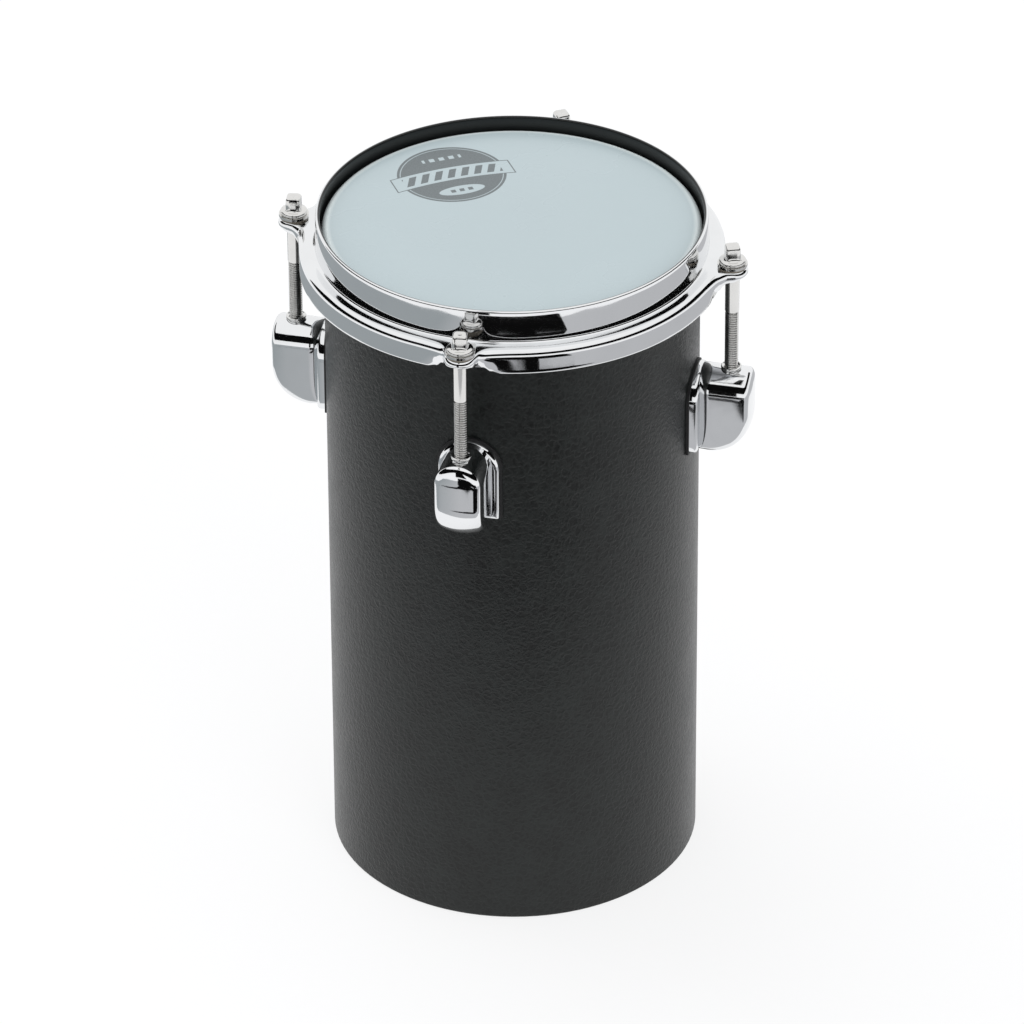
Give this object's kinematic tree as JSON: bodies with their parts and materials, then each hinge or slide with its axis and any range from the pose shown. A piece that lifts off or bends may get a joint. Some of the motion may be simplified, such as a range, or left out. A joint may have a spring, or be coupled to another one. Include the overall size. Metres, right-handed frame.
{
  "type": "tube drum",
  "caption": "Tall open-bottomed tube drum with a pale head under a metal hoop, tuned by square-headed tension rods that screw into cast lugs on the tube.",
  "frame": {"origin": "centre of the shell's bottom rim, in the plane it stands on", "axes": "+Z along the tube towards the head; the lugs stand at -Y (front), +X (right), +Y (back) and -X (left)"},
  "size_m": [0.195, 0.195, 0.2895],
  "materials": {
    "shell_finish": "near-black lacquer with a fine crinkle and a soft sheen",
    "film": "pale blue-grey polyester, smooth and satin",
    "flesh_hoop_metal": "plain extruded channel",
    "resin": "cured amber resin",
    "hoop_chrome": "bright chrome plate",
    "rod_chrome": "bright chrome plate",
    "nylon": "natural nylon",
    "washer_steel": "plated steel",
    "lug_chrome": "bright chrome plate on a casting",
    "gasket_rubber": "black rubber",
    "nut_steel": "plated steel",
    "retainer_plastic": "black moulded plastic",
    "screw_steel": "zinc-plated steel",
    "screw_washer_steel": "zinc-plated steel"
  },
  "bodies": {
    "shell": {"tube_shell": "shell_finish", "head_film": "film", "lug_casing_front": "lug_chrome", "lug_gasket_front": "gasket_rubber", "swivel_nut_front": "nut_steel", "nut_retainer_front": "retainer_plastic", "lug_screws_front": "screw_steel", "lug_screw_washers_front": "screw_washer_steel", "lug_casing_right": "lug_chrome", "lug_gasket_right": "gasket_rubber", "swivel_nut_right": "nut_steel", "nut_retainer_right": "retainer_plastic", "lug_screws_right": "screw_steel", "lug_screw_washers_right": "screw_washer_steel", "lug_casing_back": "lug_chrome", "lug_gasket_back": "gasket_rubber", "swivel_nut_back": "nut_steel", "nut_retainer_back": "retainer_plastic", "lug_screws_back": "screw_steel", "lug_screw_washers_back": "screw_washer_steel", "lug_casing_left": "lug_chrome", "lug_gasket_left": "gasket_rubber", "swivel_nut_left": "nut_steel", "nut_retainer_left": "retainer_plastic", "lug_screws_left": "screw_steel", "lug_screw_washers_left": "screw_washer_steel"},
    "hoop": {"counter_hoop": "hoop_chrome", "head_flesh_hoop": "flesh_hoop_metal", "head_resin_ring": "resin", "nylon_washer_front": "nylon", "rod_washer_front": "washer_steel", "nylon_washer_right": "nylon", "rod_washer_right": "washer_steel", "nylon_washer_back": "nylon", "rod_washer_back": "washer_steel", "nylon_washer_left": "nylon", "rod_washer_left": "washer_steel"},
    "rod_front": {"tension_rod_front": "rod_chrome"},
    "rod_right": {"tension_rod_right": "rod_chrome"},
    "rod_back": {"tension_rod_back": "rod_chrome"},
    "rod_left": {"tension_rod_left": "rod_chrome"}
  },
  "joints": [
    {"name": "hoop_travel", "type": "slide", "parent": "shell", "child": "hoop", "axis": [0, 0, 1], "range_m": [-0.0008, 0.002]},
    {"name": "rod_front_turn", "type": "hinge", "parent": "hoop", "child": "rod_front", "pos_m": [0, -0.0894, 0.2777], "axis": [0, 0, 1], "range_deg": [-280, 690]},
    {"name": "rod_right_turn", "type": "hinge", "parent": "hoop", "child": "rod_right", "pos_m": [0.0894, 0, 0.2777], "axis": [0, 0, 1], "range_deg": [-280, 690]},
    {"name": "rod_back_turn", "type": "hinge", "parent": "hoop", "child": "rod_back", "pos_m": [0, 0.0894, 0.2777], "axis": [0, 0, 1], "range_deg": [-280, 690]},
    {"name": "rod_left_turn", "type": "hinge", "parent": "hoop", "child": "rod_left", "pos_m": [-0.0894, 0, 0.2777], "axis": [0, 0, 1], "range_deg": [-280, 690]}
  ],
  "couplings": [
    {"joint": "rod_front_turn", "follows": "hoop_travel", "rad_per_m": 5937},
    {"joint": "rod_right_turn", "follows": "hoop_travel", "rad_per_m": 5937},
    {"joint": "rod_back_turn", "follows": "hoop_travel", "rad_per_m": 5937},
    {"joint": "rod_left_turn", "follows": "hoop_travel", "rad_per_m": 5937}
  ]
}
